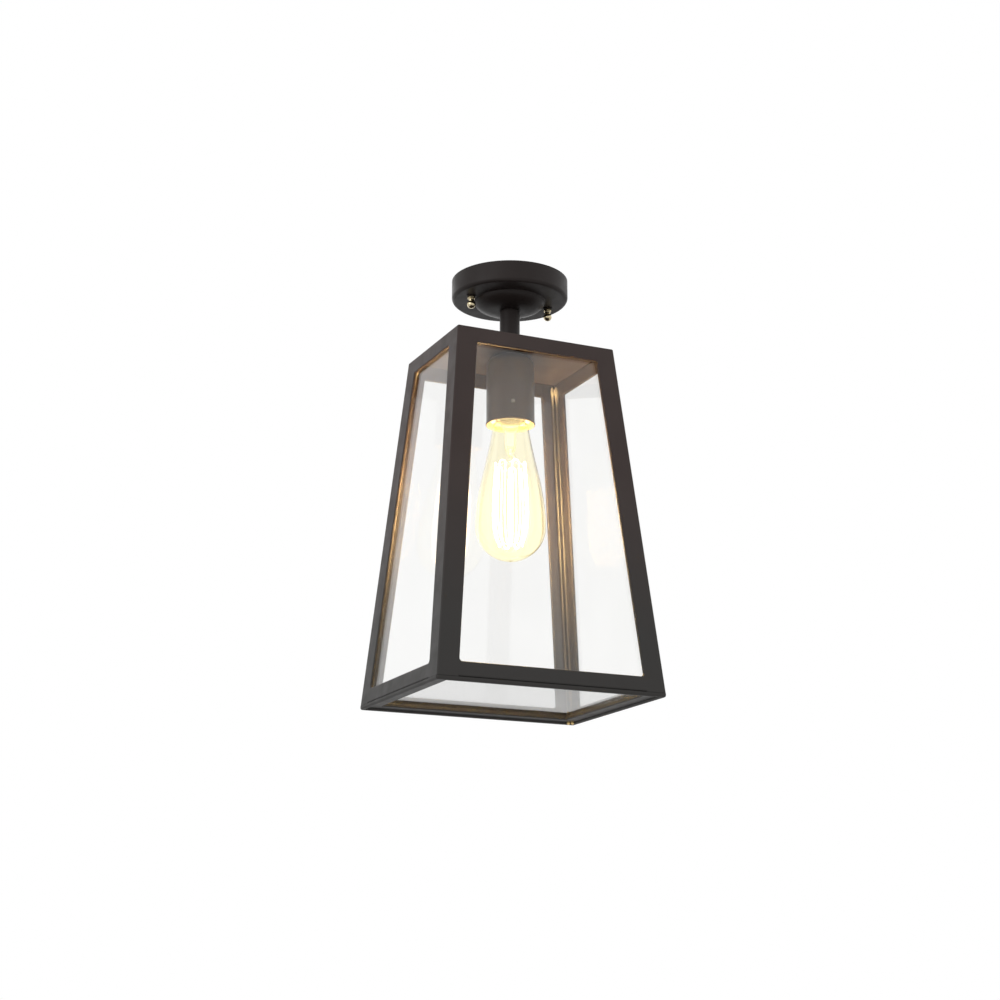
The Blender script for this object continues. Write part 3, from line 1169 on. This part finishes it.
# %% The screw cap, its black glass and its contact
CAP_LOW, CAP_HIGH = box_of("bulb_cap")
THREAD_R = 25.3 / 2
THREAD_DEPTH = 1.05
THREAD_PITCH = 3.63
Z_BAND = Z_SKIRT + 3.2
Z_THREAD_END = Z_SKIRT + 21
CAP_SIDES = 64
BAND_R = JOINT_R + 0.2
BAND_EASE = 0.3
CAP_HOLE_R = 9.4
LINING_R = 11.3
thread_z = np.linspace(Z_BAND + 0.3, Z_THREAD_END, 120)
fade = np.clip(np.minimum(thread_z - thread_z[0], thread_z[-1] - thread_z) / 1.5, 0, 1)
thread = screw_grid(THREAD_R, THREAD_DEPTH, THREAD_PITCH, thread_z - Z_MOUTH, CAP_SIDES, fade)
thread += [0, 0, Z_MOUTH]
band = np.vstack([[(JOINT_R + 0.1, CAP_LOW[2])], arc((BAND_R, CAP_LOW[2] + BAND_EASE), BAND_EASE, -60, 0, 3),
                  arc((BAND_R, Z_BAND - BAND_EASE), BAND_EASE, 0, 80, 3)])
crown = [(11.6, Z_THREAD_END + 0.5), (11.1, CAP_HIGH[2] - 0.3), (10.7, CAP_HIGH[2]), (CAP_HOLE_R, CAP_HIGH[2])]
lining = [(CAP_HOLE_R, CAP_HIGH[2] - 1.2), (LINING_R, Z_THREAD_END - 0.2), (LINING_R, Z_JOINT + 0.1),
          (JOINT_R + 0.05, Z_JOINT)]
shell = np.concatenate([swept_round(band, CAP_SIDES), thread, swept_round(crown + lining, CAP_SIDES)])
piece("cap_shell", [grid(shell, True, True)], CAP_METAL, ["bulb_cap"], body="bulb", bevel=0.1)
dressed("bulb_insulator", BLACK_GLASS, body="bulb", bevel=0.3)
dressed("bulb_contact", ZINC, body="bulb_contact", bevel=0.15)

# %% [markdown]
# ## Stage, light and camera
# The lantern hangs in a white studio. The world is white to the camera, to reflections and through
# glass, and greyer to surfaces, so the background is white without more light on the object. Soft
# panels light the faces evenly, the floor keeps a shadow, and the bulb lights the frame from inside.
# A panel would also show as a bright square in the panes. So none is seen through glass, and the one
# in front, which would mirror itself in them, is left out of reflections.

# %% Floor and world
FLOOR_Z = -1.9
FLOOR_HALF = 60.0
floor_mesh = bpy.data.meshes.new("studio_floor")
floor_corners = [(x * FLOOR_HALF, y * FLOOR_HALF, FLOOR_Z) for x, y in ((-1, -1), (1, -1), (1, 1), (-1, 1))]
floor_mesh.from_pydata(floor_corners, [], [(0, 1, 2, 3)])
floor = new_object("studio_floor", floor_mesh)
floor_paint = bpy.data.materials.new("pale_floor")
floor_paint.use_nodes = True
floor_shader = floor_paint.node_tree.nodes["Principled BSDF"]
floor_shader.inputs["Base Color"].default_value = (0.85, 0.85, 0.85, 1)
floor_shader.inputs["Roughness"].default_value = 0.9
floor_mesh.materials.append(floor_paint)

WORLD_FILL = 0.75
world = bpy.data.worlds.new("studio")
bpy.context.scene.world = world
world.use_nodes = True
sky = world.node_tree
sky.nodes.clear()
path = add(sky, "LightPath").outputs
seen = combined(sky, "MAXIMUM", path["Is Camera Ray"], path["Is Glossy Ray"])
seen = combined(sky, "MAXIMUM", seen, path["Is Transmission Ray"])
level = add(sky, "MapRange", {"Value": seen, "To Min": WORLD_FILL, "To Max": 1.0})
backdrop = add(sky, "Background", {"Color": (1, 1, 1, 1), "Strength": level.outputs[0]})
add(sky, "OutputWorld", {"Surface": backdrop.outputs[0]})


def panel(name, place_at, aim_at, size, power):
    """A soft square light that looks at a point, and isn't seen through glass."""
    lamp = bpy.data.lights.new(name, "AREA")
    lamp.size = size
    lamp.energy = power
    obj = new_object(name, lamp)
    obj.location = place_at
    obj.rotation_euler = (Vector(aim_at) - Vector(place_at)).to_track_quat("-Z", "Y").to_euler()
    obj.visible_transmission = False
    return obj


MIDDLE = (0.0, 0.0, -0.24)
panel("left_panel", (-2.2, -0.9, 0.3), MIDDLE, 1.6, 12.0)
panel("front_panel", (0.9, -2.4, 0.5), MIDDLE, 1.6, 9.0).visible_glossy = False
panel("back_panel", (0.6, 2.4, 0.4), MIDDLE, 1.8, 9.0)

# %% The camera, at the photograph's viewing angle
CAMERA_AT = (-0.726, -1.540, -0.687)
YAW = 24.93               # from +Y towards +X
PITCH = 15.49             # upwards
camera_data = bpy.data.cameras.new("camera")
camera_data.sensor_width = 36.0
camera_data.lens = 68.87
camera = new_object("camera", camera_data)
camera.location = CAMERA_AT
camera.rotation_euler = (np.radians(90 + PITCH), 0.0, np.radians(-YAW))
bpy.context.scene.camera = camera
bpy.context.scene.view_settings.view_transform = "Standard"
